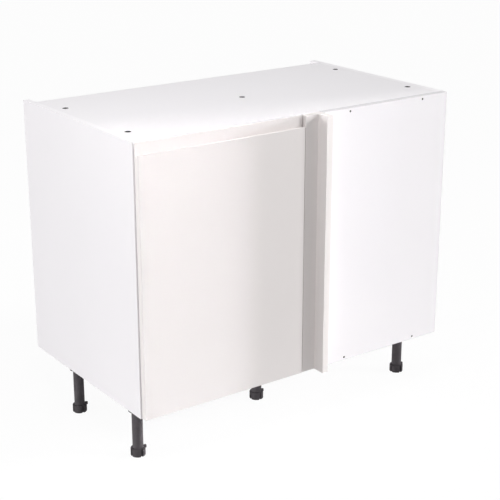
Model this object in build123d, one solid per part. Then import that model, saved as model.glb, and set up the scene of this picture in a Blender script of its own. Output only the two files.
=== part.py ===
from build123d import *
import math
import os

# Blind corner base cabinet with one hinged door that has a pull lip along its top.
# All sizes are in millimetres.
# Working frame: X runs across from the left gable, Y runs back from the carcass front,
# Z runs up from the underside of the carcass.
# Every node is moved by TO_ORIGIN as it is saved, to the centre of the floor area covered.

# Carcass
CABINET_WIDTH = 1000.0
CARCASS_HEIGHT = 720.0
CABINET_DEPTH = 570.0
BOARD = 18.0
SERVICE_VOID = 41.0
BACK_THICKNESS = 8.0
GROOVE_DEPTH = 8.0
GROOVE_PLAY = 0.2

# Fixing holes through the top panel
TOP_HOLE_RADIUS = 8.5
TOP_HOLE_MIDDLE_Y = 258.0

# Legs
LEG_HEIGHT = 155.0
LEG_INSET_LEFT = 45.0
LEG_INSET_RIGHT = 42.0
LEG_FRONT_Y = 96.0
LEG_REAR_INSET = 105.0
LEG_MIDDLE_Y = 192.0
SOCKET_RADIUS = 23.0
SOCKET_DROP = 25.0
SOCKET_FLOOR = 4.0
FLANGE_SIDE = 60.0
FLANGE_CORNER = 8.0
FLANGE_THICKNESS = 3.0
FLANGE_SCREW_OFFSET = 20.5
TUBE_RADIUS = 14.5
TUBE_WALL = 2.5
SOCKET_PLAY = 0.1
FOOT_RADIUS = 20.0
FOOT_HEIGHT = 22.5
FOOT_CORE_RADIUS = 16.4
FOOT_SLOT_WIDTH = 5.6
FOOT_LUG_REACH = 5.0
FOOT_LUG_WIDTH = 5.0
FOOT_LUG_HEIGHT = 8.0
FOOT_SOLE_CHAMFER = 1.0
FOOT_TRAVEL = 25.0
FOOT_REST_GAP = 0.2
STEM_LEFT_IN_TUBE = 35.0
STEM_PLAY = 0.08
STEM_BORE_RADIUS = 5.0

# Door
DOOR_WIDTH = 497.0
DOOR_THICKNESS = 18.0
DOOR_REVEAL = 3.5
DOOR_GAP = 2.0
DOOR_BOTTOM = 2.5
DOOR_TOP_GAP = 2.5
LIP_DROP = 27.5
LIP_THICKNESS = 4.5
RIM_THICKNESS = 5.0
SCOOP_DEPTH = 6.0
SCOOP_CORNER = 3.5
LIP_CORNER = 1.5
BUMPER_RADIUS = 4.5
BUMPER_PLAY = 0.2
BUMPER_INSET = 12.0
BUMPER_END = 38.0

# Corner post
POST_LEFT_GAP = 3.5
POST_FRONT_WIDTH = 40.4
POST_PROJECTION = 55.6
POST_TOP_GAP = 1.0

# Blind panel and centre stile
BLIND_BOTTOM_GAP = 1.0
BLIND_SCREW_LEFT_INSET = 89.6
BLIND_SCREW_RIGHT_INSET = 91.0
BLIND_SCREW_SINK = 3.0
STILE_BEHIND_DOOR = 18.5
STILE_BEHIND_BLIND = 19.6

# Shelf
SHELF_UNDERSIDE = 352.0
SHELF_FRONT_Y = 40.0
SHELF_BACK_GAP = 4.0
SHELF_SIDE_PLAY = 1.0
PEG_ROW_FRONT_Y = 90.0
PEG_ROW_REAR_INSET = 61.0
PEG_RADIUS = 2.5
PEG_PITCH = 32.0
PEG_POSITIONS = 5
PEG_HOLE_DEPTH = 11.0
PEG_LENGTH = 10.0
PEG_PLAY = 0.05
PEG_REST_LENGTH = 8.0
PEG_REST_HEIGHT = 6.0
PEG_REST_WIDTH = 7.0

# Dowels
DOWEL_RADIUS = 4.0
DOWEL_PLAY = 0.05
DOWEL_IN_FACE = 12.0
DOWEL_IN_END = 22.0
DOWEL_TIP_GAP = 0.5
DOWEL_FRONT_Y = 60.0
DOWEL_REAR_INSET = 61.0
STILE_DOWEL_INSET = 20.0

# Screws
SCREW_RADIUS = 1.75
SCREW_PLAY = 0.05
SCREW_HEAD_RADIUS = 3.0
SCREW_HEAD_HEIGHT = 1.8
SCREW_LENGTH = 30.0
FLANGE_SCREW_LENGTH = 15.0
PLATE_SCREW_RADIUS = 2.2
PLATE_SCREW_HEAD_RADIUS = 4.0
PLATE_SCREW_LENGTH = 11.0
CUP_SCREW_LENGTH = 12.0
BACK_SCREW_INSET = 150.0
POST_SCREW_INSET = 60.0
POST_JOIN_SCREW_INSET = 110.0
POST_JOIN_SCREW_SHIFT = 50.0

# Door hinges with the door shut
# Arm pivots are counted from the front inner corner of the gable,
# cup pivots and the knees of the links from the back left corner of the door.
HINGE_INSET = 100.0
ARM_OUTER_OFFSET = (19.76, 10.55)
ARM_INNER_OFFSET = (14.0, 6.54)
CUP_OUTER_OFFSET = (9.0, -3.58)
CUP_INNER_OFFSET = (9.96, -9.5)
OUTER_KNEE_OFFSET = (14.0, -7.5)
INNER_KNEE_OFFSETS = ((21.49, -11.09), (24.93, -4.09))
INNER_SLOT_TRAVEL = 3.25
CUP_EDGE_DISTANCE = 20.5
CUP_RADIUS = 17.5
CUP_PLAY = 0.05
CUP_WALL = 1.2
CUP_DEPTH = 13.0
CUP_BOTTOM = 0.5
CUP_FLANGE_THICKNESS = 1.0
CUP_FLANGE_HALF_HEIGHT = 31.0
CUP_FLANGE_BACK = 8.0
CUP_FLANGE_FRONT = 18.0
CUP_FLANGE_CORNER = 4.0
CUP_EAR_RADIUS = 2.0
CUP_EAR_FOOT = 3.0
CUP_EAR_THICKNESS = 1.5
CUP_SCREW_HALF_PITCH = 24.0
CUP_SCREW_OFFSET = 7.0
PIVOT_PLAY = 0.05
PIVOT_HOLE_REACH = 8.0
OUTER_EYE_WALL = 1.15
INNER_EYE_WALL = 0.8
SLOT_WALL = 0.65
OUTER_HALF_WIDTH = 1.75
INNER_HALF_WIDTH = 1.15
CHEEK_INSIDE = 3.0
CHEEK_THICKNESS = 1.4
INNER_HALF_THICKNESS = 1.25
EAR_CLEARANCE = 0.15
CUP_PIN_RADIUS = 1.1
ARM_PIN_RADIUS = 1.2
SLOT_PIN_RADIUS = 1.0
SLOT_SIDE_PLAY = 0.4
ARM_LENGTH = 48.0
ARM_START_Y = 14.0
ARM_HEIGHT = 23.0
ARM_DEPTH = 11.0
ARM_EAR_RADIUS = 2.6
ARM_EAR_LAP = 10.0
ARM_WALL = 1.2
ARM_HALF_WIDTH = 6.5
PLATE_SETBACK = 37.0
PLATE_BASE = 2.0
PLATE_WING_HALF = 24.0
PLATE_WING_WIDTH = 16.0
PLATE_SCREW_HALF_PITCH = 16.0
PLATE_BLOCK_START = 24.0
PLATE_STEP = 3.8
PLATE_PLAY = 0.2
ARM_SCREW_RADIUS = 2.0
ARM_SCREW_LENGTH = 11.0
ARM_SCREW_INSET = 10.0
ARM_SCREW_HEAD_RADIUS = 3.0
ARM_SCREW_HEAD_HEIGHT = 1.5

# Length by which a cutting tool passes the face it cuts
OVERSHOOT = 1.0

# Sizes that follow from the ones above
BACK_FRONT_Y = CABINET_DEPTH - SERVICE_VOID - BACK_THICKNESS
BACK_REAR_Y = CABINET_DEPTH - SERVICE_VOID
INSIDE_LEFT = BOARD
INSIDE_RIGHT = CABINET_WIDTH - BOARD
TOP_UNDERSIDE = CARCASS_HEIGHT - BOARD
DOOR_LEFT = DOOR_REVEAL
DOOR_RIGHT = DOOR_REVEAL + DOOR_WIDTH
DOOR_BACK_Y = -DOOR_GAP
DOOR_FRONT_Y = -DOOR_GAP - DOOR_THICKNESS
DOOR_TOP = CARCASS_HEIGHT - DOOR_TOP_GAP
POST_LEFT = DOOR_RIGHT + POST_LEFT_GAP
POST_CORNER = POST_LEFT + POST_FRONT_WIDTH
POST_RIGHT = POST_CORNER + BOARD
POST_TOP = CARCASS_HEIGHT - POST_TOP_GAP
STILE_LEFT = DOOR_RIGHT - STILE_BEHIND_DOOR
STILE_RIGHT = POST_RIGHT + STILE_BEHIND_BLIND
CUP_X = DOOR_LEFT + CUP_EDGE_DISTANCE
LEG_RIGHT_X = CABINET_WIDTH - LEG_INSET_RIGHT
LEG_MIDDLE_X = (LEG_INSET_LEFT + LEG_RIGHT_X) / 2
LEG_REAR_Y = BACK_FRONT_Y - LEG_REAR_INSET
STEM_LENGTH = FOOT_TRAVEL + STEM_LEFT_IN_TUBE
PEG_ROWS_Y = (PEG_ROW_FRONT_Y, BACK_FRONT_Y - PEG_ROW_REAR_INSET)
DOWEL_REAR_Y = BACK_FRONT_Y - DOWEL_REAR_INSET
CARCASS_DOWELS_Y = (DOWEL_FRONT_Y, (DOWEL_FRONT_Y + DOWEL_REAR_Y) / 2, DOWEL_REAR_Y)
BLIND_SCREWS_X = (POST_RIGHT + BLIND_SCREW_LEFT_INSET, CABINET_WIDTH - BLIND_SCREW_RIGHT_INSET)
BACK_SCREWS_X = (BACK_SCREW_INSET, CABINET_WIDTH / 2, CABINET_WIDTH - BACK_SCREW_INSET)
POST_SCREWS_Z = (POST_SCREW_INSET, CARCASS_HEIGHT / 2, CARCASS_HEIGHT - POST_SCREW_INSET)
POST_JOIN_SCREWS_Z = (
    POST_JOIN_SCREW_INSET,
    CARCASS_HEIGHT / 2 - POST_JOIN_SCREW_SHIFT,
    CARCASS_HEIGHT - POST_JOIN_SCREW_INSET,
)
HINGE_HEIGHTS = (DOOR_BOTTOM + HINGE_INSET, DOOR_TOP - HINGE_INSET)
ARM_OUTER_PIVOT = (INSIDE_LEFT + ARM_OUTER_OFFSET[0], ARM_OUTER_OFFSET[1])
ARM_INNER_PIVOT = (INSIDE_LEFT + ARM_INNER_OFFSET[0], ARM_INNER_OFFSET[1])
CUP_OUTER_PIVOT = (DOOR_LEFT + CUP_OUTER_OFFSET[0], DOOR_BACK_Y + CUP_OUTER_OFFSET[1])
CUP_INNER_PIVOT = (DOOR_LEFT + CUP_INNER_OFFSET[0], DOOR_BACK_Y + CUP_INNER_OFFSET[1])
OUTER_KNEE = (DOOR_LEFT + OUTER_KNEE_OFFSET[0], DOOR_BACK_Y + OUTER_KNEE_OFFSET[1])
INNER_KNEES = [(DOOR_LEFT + dx, DOOR_BACK_Y + dy) for dx, dy in INNER_KNEE_OFFSETS]
ARM_TOP_X = INSIDE_LEFT + ARM_HEIGHT
LEG_POSITIONS = {
    "front_left": (LEG_INSET_LEFT, LEG_FRONT_Y),
    "front_right": (LEG_RIGHT_X, LEG_FRONT_Y),
    "rear_left": (LEG_INSET_LEFT, LEG_REAR_Y),
    "rear_right": (LEG_RIGHT_X, LEG_REAR_Y),
    "middle": (LEG_MIDDLE_X, LEG_MIDDLE_Y),
}
TOP_HOLES = (
    (LEG_INSET_LEFT, LEG_FRONT_Y),
    (LEG_RIGHT_X, LEG_FRONT_Y),
    (LEG_INSET_LEFT, LEG_REAR_Y),
    (LEG_RIGHT_X, LEG_REAR_Y),
    (CABINET_WIDTH / 2, TOP_HOLE_MIDDLE_Y),
)
TO_ORIGIN = (-CABINET_WIDTH / 2, -(CABINET_DEPTH - POST_PROJECTION) / 2, LEG_HEIGHT)

os.makedirs("parts", exist_ok=True)


# Building blocks
def slab(low, high):
    size = [b - a for a, b in zip(low, high)]
    middle = [(a + b) / 2 for a, b in zip(low, high)]
    return Pos(*middle) * Box(*size)


def bar(start, direction, radius, length):
    rod = Cylinder(radius, length, align=(Align.CENTER, Align.CENTER, Align.MIN))
    return Plane(origin=start, z_dir=direction).location * rod


def cut(body, tools):
    for tool in tools:
        body = body - tool
    return body


def screw(face_point, direction, radius, length, head_radius, head_height):
    back = [p - d * head_height for p, d in zip(face_point, direction)]
    head = bar(back, direction, head_radius, head_height)
    shank = bar(face_point, direction, radius, length)
    return head + shank


def screw_hole(face_point, direction, radius, length):
    return bar(face_point, direction, radius + SCREW_PLAY, length + DOWEL_TIP_GAP)


def strap(points, radius):
    outline = Pos(*points[0]) * Circle(radius)
    for p, q in zip(points, points[1:]):
        span = math.dist(p, q)
        nx = -(q[1] - p[1]) / span * radius
        ny = (q[0] - p[0]) / span * radius
        corners = [
            (p[0] + nx, p[1] + ny),
            (q[0] + nx, q[1] + ny),
            (q[0] - nx, q[1] - ny),
            (p[0] - nx, p[1] - ny),
        ]
        outline += make_face(Polyline(*corners, close=True))
        outline += Pos(*q) * Circle(radius)
    return outline


def layer(outline, low, high):
    return Pos(0, 0, low) * extrude(outline, high - low)


def save(name, solids):
    shift = Pos(*TO_ORIGIN)
    placed = [shift * solid for solid in solids]
    flat = []
    for shape in placed:
        flat.extend(shape.solids())
    shape = flat[0] if len(flat) == 1 else Compound(children=flat)
    shape.label = name
    export_step(shape, "parts/" + name + ".step")


# Dowels that join the top and base panels to the gables
def carcass_dowel_axes():
    axes = []
    for z in (BOARD / 2, CARCASS_HEIGHT - BOARD / 2):
        for y in CARCASS_DOWELS_Y:
            axes.append(((INSIDE_LEFT, y, z), -1))
            axes.append(((INSIDE_RIGHT, y, z), 1))
    return axes


def carcass_dowel(joint, into_gable, play):
    x, y, z = joint
    tip = DOWEL_TIP_GAP if play == 0 else 0.0
    start = x - into_gable * (DOWEL_IN_END - tip)
    length = DOWEL_IN_END + DOWEL_IN_FACE - 2 * tip
    return bar((start, y, z), (into_gable, 0, 0), DOWEL_RADIUS + play, length)


def stile_dowel_axes():
    axes = []
    for x in (STILE_LEFT + STILE_DOWEL_INSET, STILE_RIGHT - STILE_DOWEL_INSET):
        axes.append(((x, BOARD / 2, BOARD), -1))
        axes.append(((x, BOARD / 2, TOP_UNDERSIDE), 1))
    return axes


def stile_dowel(joint, into_panel, play):
    x, y, z = joint
    tip = DOWEL_TIP_GAP if play == 0 else 0.0
    start = z - into_panel * (DOWEL_IN_END - tip)
    length = DOWEL_IN_END + DOWEL_IN_FACE - 2 * tip
    return bar((x, y, start), (0, 0, into_panel), DOWEL_RADIUS + play, length)


# Screw positions
def back_screw_points():
    heights = (BOARD / 2, CARCASS_HEIGHT - BOARD / 2)
    return [(x, BACK_REAR_Y, z) for x in BACK_SCREWS_X for z in heights]


def blind_screw_points():
    heights = (BOARD / 2, CARCASS_HEIGHT - BOARD / 2)
    sunk_y = -BOARD + BLIND_SCREW_SINK
    return [(x, sunk_y, z) for x in BLIND_SCREWS_X for z in heights]


def post_fixing_points():
    columns = (POST_LEFT + POST_FRONT_WIDTH / 2, POST_CORNER + BOARD / 2)
    return [(x, BOARD, z) for x in columns for z in POST_SCREWS_Z]


def post_joining_points():
    return [(POST_RIGHT, -BOARD / 2, z) for z in POST_JOIN_SCREWS_Z]


def flange_screw_points(leg):
    x, y = leg
    offsets = (-FLANGE_SCREW_OFFSET, FLANGE_SCREW_OFFSET)
    return [(x + dx, y + dy, -FLANGE_THICKNESS) for dx in offsets for dy in offsets]


def plate_screw_points(height):
    x = INSIDE_LEFT + PLATE_BASE
    offsets = (-PLATE_SCREW_HALF_PITCH, PLATE_SCREW_HALF_PITCH)
    return [(x, PLATE_SETBACK, height + dz) for dz in offsets]


def cup_screw_points(height):
    y = DOOR_BACK_Y + CUP_FLANGE_THICKNESS
    offsets = (-CUP_SCREW_HALF_PITCH, CUP_SCREW_HALF_PITCH)
    return [(CUP_X + CUP_SCREW_OFFSET, y, height + dz) for dz in offsets]


def arm_screw_points(height):
    front = PLATE_BLOCK_START + ARM_SCREW_INSET
    rear = ARM_START_Y + ARM_LENGTH - ARM_SCREW_INSET
    return [(ARM_TOP_X, y, height) for y in (front, rear)]


# Gables
def back_groove(inner_face, outward):
    deep = inner_face + outward * GROOVE_DEPTH
    low = (min(inner_face, deep), BACK_FRONT_Y - GROOVE_PLAY, -OVERSHOOT)
    high = (max(inner_face, deep), BACK_REAR_Y + GROOVE_PLAY, CARCASS_HEIGHT + OVERSHOOT)
    return slab(low, high)


def peg_heights():
    used = SHELF_UNDERSIDE - PEG_REST_HEIGHT + PEG_RADIUS
    half = PEG_POSITIONS // 2
    return [used + PEG_PITCH * step for step in range(-half, half + 1)]


def peg_holes(inner_face, outward):
    holes = []
    for y in PEG_ROWS_Y:
        for z in peg_heights():
            holes.append(bar((inner_face, y, z), (outward, 0, 0), PEG_RADIUS + PEG_PLAY, PEG_HOLE_DEPTH))
    return holes


def side_panel(outer_face, inner_face):
    outward = -1 if outer_face < inner_face else 1
    low = (min(outer_face, inner_face), 0, 0)
    high = (max(outer_face, inner_face), CABINET_DEPTH, CARCASS_HEIGHT)
    panel = slab(low, high) - back_groove(inner_face, outward)
    dowels = [carcass_dowel(p, d, DOWEL_PLAY) for p, d in carcass_dowel_axes() if d == outward]
    return cut(panel, dowels + peg_holes(inner_face, outward))


def left_side_panel():
    panel = side_panel(0, INSIDE_LEFT)
    holes = []
    for height in HINGE_HEIGHTS:
        for x, y, z in plate_screw_points(height):
            length = PLATE_SCREW_LENGTH - PLATE_BASE
            holes.append(screw_hole((INSIDE_LEFT, y, z), (-1, 0, 0), PLATE_SCREW_RADIUS, length))
    return cut(panel, holes)


# Top and base panels
def cross_panel(bottom):
    low = (INSIDE_LEFT, 0, bottom)
    high = (INSIDE_RIGHT, BACK_FRONT_Y, bottom + BOARD)
    panel = slab(low, high)
    middle = bottom + BOARD / 2
    tools = [carcass_dowel(p, d, DOWEL_PLAY) for p, d in carcass_dowel_axes() if p[2] == middle]
    length = SCREW_LENGTH - BACK_THICKNESS
    for x, y, z in back_screw_points():
        if z == middle:
            tools.append(screw_hole((x, BACK_FRONT_Y, z), (0, -1, 0), SCREW_RADIUS, length))
    length = SCREW_LENGTH - BOARD + BLIND_SCREW_SINK
    for x, y, z in blind_screw_points():
        if z == middle:
            tools.append(screw_hole((x, 0, z), (0, 1, 0), SCREW_RADIUS, length))
    return cut(panel, tools)


def top_panel():
    tools = [stile_dowel(p, d, DOWEL_PLAY) for p, d in stile_dowel_axes() if d == 1]
    for x, y in TOP_HOLES:
        start = (x, y, TOP_UNDERSIDE - OVERSHOOT)
        tools.append(bar(start, (0, 0, 1), TOP_HOLE_RADIUS, BOARD + 2 * OVERSHOOT))
    return cut(cross_panel(TOP_UNDERSIDE), tools)


def base_panel():
    tools = [stile_dowel(p, d, DOWEL_PLAY) for p, d in stile_dowel_axes() if d == -1]
    length = FLANGE_SCREW_LENGTH - FLANGE_THICKNESS
    for leg in LEG_POSITIONS.values():
        for x, y, z in flange_screw_points(leg):
            tools.append(screw_hole((x, y, 0), (0, 0, 1), SCREW_RADIUS, length))
    return cut(cross_panel(0), tools)


# Back panel, held in the gable grooves and screwed to the rear edges of the top and base
def back_panel():
    reach = GROOVE_DEPTH - GROOVE_PLAY
    low = (INSIDE_LEFT - reach, BACK_FRONT_Y, 0)
    high = (INSIDE_RIGHT + reach, BACK_REAR_Y, CARCASS_HEIGHT)
    holes = [screw_hole(p, (0, -1, 0), SCREW_RADIUS, BACK_THICKNESS) for p in back_screw_points()]
    return cut(slab(low, high), holes)


# Shelf and its pegs
def shelf():
    low = (INSIDE_LEFT + SHELF_SIDE_PLAY, SHELF_FRONT_Y, SHELF_UNDERSIDE)
    high = (INSIDE_RIGHT - SHELF_SIDE_PLAY, BACK_FRONT_Y - SHELF_BACK_GAP, SHELF_UNDERSIDE + BOARD)
    return slab(low, high)


def shelf_peg(inner_face, outward, y):
    z = SHELF_UNDERSIDE - PEG_REST_HEIGHT + PEG_RADIUS
    pin = bar((inner_face, y, z), (outward, 0, 0), PEG_RADIUS, PEG_LENGTH)
    tip = inner_face - outward * PEG_REST_LENGTH
    half = PEG_REST_WIDTH / 2
    low = (min(inner_face, tip), y - half, SHELF_UNDERSIDE - PEG_REST_HEIGHT)
    high = (max(inner_face, tip), y + half, SHELF_UNDERSIDE)
    return pin + slab(low, high)


# Centre stile, the upright board behind the corner post
def centre_stile():
    panel = slab((STILE_LEFT, 0, BOARD), (STILE_RIGHT, BOARD, TOP_UNDERSIDE))
    tools = [stile_dowel(p, d, DOWEL_PLAY) for p, d in stile_dowel_axes()]
    tools += [screw_hole(p, (0, -1, 0), SCREW_RADIUS, BOARD) for p in post_fixing_points()]
    return cut(panel, tools)


# Blind panel, screwed through its face into the front edges of the top and base
def blind_panel():
    panel = slab((POST_RIGHT, -BOARD, BLIND_BOTTOM_GAP), (CABINET_WIDTH, 0, CARCASS_HEIGHT))
    tools = []
    for x, y, z in blind_screw_points():
        start = (x, -BOARD - OVERSHOOT, z)
        sink = BLIND_SCREW_SINK + OVERSHOOT
        tools.append(bar(start, (0, 1, 0), SCREW_HEAD_RADIUS + SCREW_PLAY, sink))
        tools.append(screw_hole((x, y, z), (0, 1, 0), SCREW_RADIUS, BOARD))
    for x, y, z in post_joining_points():
        depth = SCREW_HEAD_HEIGHT + DOWEL_TIP_GAP
        tools.append(bar((x, y, z), (1, 0, 0), SCREW_HEAD_RADIUS + SCREW_PLAY, depth))
    return cut(panel, tools)


# Corner post made of a front leg and a return leg at right angles
def post_front_leg():
    panel = slab((POST_LEFT, -BOARD, DOOR_BOTTOM), (POST_CORNER, 0, POST_TOP))
    length = SCREW_LENGTH - BOARD
    tools = []
    for x, y, z in post_fixing_points():
        if x < POST_CORNER:
            tools.append(screw_hole((x, 0, z), (0, -1, 0), SCREW_RADIUS, length))
    for x, y, z in post_joining_points():
        tools.append(screw_hole((POST_CORNER, y, z), (-1, 0, 0), SCREW_RADIUS, length))
    return cut(panel, tools)


def post_return_leg():
    panel = slab((POST_CORNER, -POST_PROJECTION, DOOR_BOTTOM), (POST_RIGHT, 0, POST_TOP))
    length = SCREW_LENGTH - BOARD
    tools = [screw_hole(p, (-1, 0, 0), SCREW_RADIUS, BOARD) for p in post_joining_points()]
    for x, y, z in post_fixing_points():
        if x > POST_CORNER:
            tools.append(screw_hole((x, 0, z), (0, -1, 0), SCREW_RADIUS, length))
    return cut(panel, tools)


# Door with the pull lip milled along its top edge
def door_profile():
    lip_top = DOOR_TOP - LIP_DROP
    scoop_floor = lip_top - SCOOP_DEPTH
    lip_back = DOOR_FRONT_Y + LIP_THICKNESS
    rim_front = DOOR_BACK_Y - RIM_THICKNESS
    points = [
        (DOOR_BACK_Y, DOOR_BOTTOM),
        (DOOR_FRONT_Y, DOOR_BOTTOM),
        (DOOR_FRONT_Y, lip_top),
        (lip_back, lip_top),
        (lip_back, scoop_floor),
        (rim_front, scoop_floor),
        (rim_front, DOOR_TOP),
        (DOOR_BACK_Y, DOOR_TOP),
    ]
    face = make_face(Polyline(*points, close=True))
    scoop = [v for v in face.vertices() if abs(v.Y - scoop_floor) < 0.01]
    face = fillet(scoop, SCOOP_CORNER)
    lip = [v for v in face.vertices() if abs(v.Y - lip_top) < 0.01]
    return fillet(lip, LIP_CORNER)


def door_panel():
    upright = Plane(origin=(DOOR_LEFT, 0, 0), x_dir=(0, 1, 0), z_dir=(1, 0, 0))
    panel = upright.location * extrude(door_profile(), DOOR_WIDTH)
    tools = []
    for height in HINGE_HEIGHTS:
        start = (CUP_X, DOOR_BACK_Y + OVERSHOOT, height)
        tools.append(bar(start, (0, -1, 0), CUP_RADIUS + CUP_PLAY, CUP_DEPTH + OVERSHOOT))
        for x, y, z in cup_screw_points(height):
            length = CUP_SCREW_LENGTH - CUP_FLANGE_THICKNESS
            tools.append(screw_hole((x, DOOR_BACK_Y, z), (0, -1, 0), SCREW_RADIUS, length))
    return cut(panel, tools)


def door_bumper(z):
    length = DOOR_GAP - BUMPER_PLAY
    return bar((DOOR_RIGHT - BUMPER_INSET, DOOR_BACK_Y, z), (0, 1, 0), BUMPER_RADIUS, length)


def pivot_hole(pivot, height, pin_radius):
    start = (pivot[0], pivot[1], height - PIVOT_HOLE_REACH)
    return bar(start, (0, 0, 1), pin_radius + PIVOT_PLAY, 2 * PIVOT_HOLE_REACH)


# Hinge cup with a screw flange and two ears that hold the cup pivots
def cup_ear(height, side):
    x, y = CUP_OUTER_PIVOT
    floor_y = DOOR_BACK_Y - CUP_DEPTH + CUP_BOTTOM
    left = x - CUP_EAR_RADIUS
    foot = [(left, floor_y), (x + CUP_EAR_FOOT, floor_y), (x + CUP_EAR_RADIUS, y), (left, y)]
    outline = make_face(Polyline(*foot, close=True))
    outline += Pos(x, y) * Circle(CUP_EAR_RADIUS)
    near = CHEEK_INSIDE + CHEEK_THICKNESS + 2 * EAR_CLEARANCE
    low = height + min(side * near, side * (near + CUP_EAR_THICKNESS))
    return layer(outline, low, low + CUP_EAR_THICKNESS)


def hinge_cup(height):
    mouth = (CUP_X, DOOR_BACK_Y, height)
    shell = bar(mouth, (0, -1, 0), CUP_RADIUS, CUP_DEPTH)
    low = (CUP_X - CUP_FLANGE_BACK, DOOR_BACK_Y, height - CUP_FLANGE_HALF_HEIGHT)
    high = (CUP_X + CUP_FLANGE_FRONT, DOOR_BACK_Y + CUP_FLANGE_THICKNESS, height + CUP_FLANGE_HALF_HEIGHT)
    body = shell + fillet(slab(low, high).edges().filter_by(Axis.Y), CUP_FLANGE_CORNER)
    top = (CUP_X, DOOR_BACK_Y + CUP_FLANGE_THICKNESS + OVERSHOOT, height)
    depth = CUP_DEPTH - CUP_BOTTOM + CUP_FLANGE_THICKNESS + OVERSHOOT
    body = body - bar(top, (0, -1, 0), CUP_RADIUS - CUP_WALL, depth)
    for side in (-1, 1):
        body = body + cup_ear(height, side)
    tools = []
    for pivot in (CUP_OUTER_PIVOT, CUP_INNER_PIVOT):
        tools.append(pivot_hole(pivot, height, CUP_PIN_RADIUS))
    for point in cup_screw_points(height):
        tools.append(screw_hole(point, (0, -1, 0), SCREW_RADIUS, CUP_FLANGE_THICKNESS))
    return cut(body, tools)


def cup_pins(height):
    outside = CHEEK_INSIDE + CHEEK_THICKNESS + 2 * EAR_CLEARANCE + CUP_EAR_THICKNESS
    inside = CHEEK_INSIDE - EAR_CLEARANCE
    x, y = CUP_INNER_PIVOT
    pins = [bar((x, y, height - outside), (0, 0, 1), CUP_PIN_RADIUS, 2 * outside)]
    x, y = CUP_OUTER_PIVOT
    for side in (-1, 1):
        start = (x, y, height + side * inside)
        pins.append(bar(start, (0, 0, side), CUP_PIN_RADIUS, outside - inside))
    return pins


# Links between the cup and the hinge arm
def outer_link(height):
    outline = strap([CUP_OUTER_PIVOT, OUTER_KNEE, ARM_OUTER_PIVOT], OUTER_HALF_WIDTH)
    outline += Pos(*CUP_OUTER_PIVOT) * Circle(CUP_PIN_RADIUS + OUTER_EYE_WALL)
    outline += Pos(*ARM_OUTER_PIVOT) * Circle(ARM_PIN_RADIUS + OUTER_EYE_WALL)
    outline -= Pos(*CUP_OUTER_PIVOT) * Circle(CUP_PIN_RADIUS + PIVOT_PLAY)
    outline -= Pos(*ARM_OUTER_PIVOT) * Circle(ARM_PIN_RADIUS + PIVOT_PLAY)
    upper = layer(outline, height + CHEEK_INSIDE, height + CHEEK_INSIDE + CHEEK_THICKNESS)
    lower = layer(outline, height - CHEEK_INSIDE - CHEEK_THICKNESS, height - CHEEK_INSIDE)
    return [upper, lower]


def slot_end():
    span = math.dist(ARM_INNER_PIVOT, CUP_INNER_PIVOT)
    reach = INNER_SLOT_TRAVEL / span
    ends = zip(ARM_INNER_PIVOT, CUP_INNER_PIVOT)
    return tuple(a + (a - c) * reach for a, c in ends)


def inner_link(height):
    outline = strap([CUP_INNER_PIVOT, *INNER_KNEES, ARM_INNER_PIVOT], INNER_HALF_WIDTH)
    slot_radius = SLOT_PIN_RADIUS + SLOT_SIDE_PLAY
    outline += Pos(*CUP_INNER_PIVOT) * Circle(CUP_PIN_RADIUS + INNER_EYE_WALL)
    outline += strap([ARM_INNER_PIVOT, slot_end()], slot_radius + SLOT_WALL)
    outline -= Pos(*CUP_INNER_PIVOT) * Circle(CUP_PIN_RADIUS + PIVOT_PLAY)
    outline -= strap([ARM_INNER_PIVOT, slot_end()], slot_radius)
    return layer(outline, height - INNER_HALF_THICKNESS, height + INNER_HALF_THICKNESS)


# Hinge arm, a channel with a forked nose, on a mounting plate screwed to the left gable
def arm_ear_outline():
    x, y = ARM_OUTER_PIVOT
    r = ARM_EAR_RADIUS
    outline = strap([ARM_INNER_PIVOT, ARM_OUTER_PIVOT], r)
    back = ARM_START_Y + ARM_EAR_LAP
    neck = [(x - r, y), (x + r, y), (ARM_TOP_X, ARM_START_Y), (ARM_TOP_X, back), (x - ARM_WALL, back)]
    return outline + make_face(Polyline(*neck, close=True))


def hinge_arm(height):
    end = ARM_START_Y + ARM_LENGTH
    low = (ARM_TOP_X - ARM_DEPTH, ARM_START_Y, height - ARM_HALF_WIDTH)
    channel = slab(low, (ARM_TOP_X, end, height + ARM_HALF_WIDTH))
    half = ARM_HALF_WIDTH - ARM_WALL
    hollow = slab(
        (low[0] - OVERSHOOT, ARM_START_Y - OVERSHOOT, height - half),
        (ARM_TOP_X - ARM_WALL, end + OVERSHOOT, height + half),
    )
    arm = channel - hollow
    near = INNER_HALF_THICKNESS + EAR_CLEARANCE
    far = CHEEK_INSIDE - EAR_CLEARANCE
    arm = arm + layer(arm_ear_outline(), height + near, height + far)
    arm = arm + layer(arm_ear_outline(), height - far, height - near)
    tools = [pivot_hole(ARM_OUTER_PIVOT, height, ARM_PIN_RADIUS)]
    tools.append(pivot_hole(ARM_INNER_PIVOT, height, SLOT_PIN_RADIUS))
    for point in arm_screw_points(height):
        tools.append(screw_hole(point, (-1, 0, 0), ARM_SCREW_RADIUS, ARM_WALL))
    return cut(arm, tools)


def arm_pins(height):
    outside = CHEEK_INSIDE + CHEEK_THICKNESS + EAR_CLEARANCE
    x, y = ARM_OUTER_PIVOT
    outer = bar((x, y, height - outside), (0, 0, 1), ARM_PIN_RADIUS, 2 * outside)
    inside = CHEEK_INSIDE - EAR_CLEARANCE
    x, y = ARM_INNER_PIVOT
    inner = bar((x, y, height - inside), (0, 0, 1), SLOT_PIN_RADIUS, 2 * inside)
    return [outer, inner]


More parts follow.
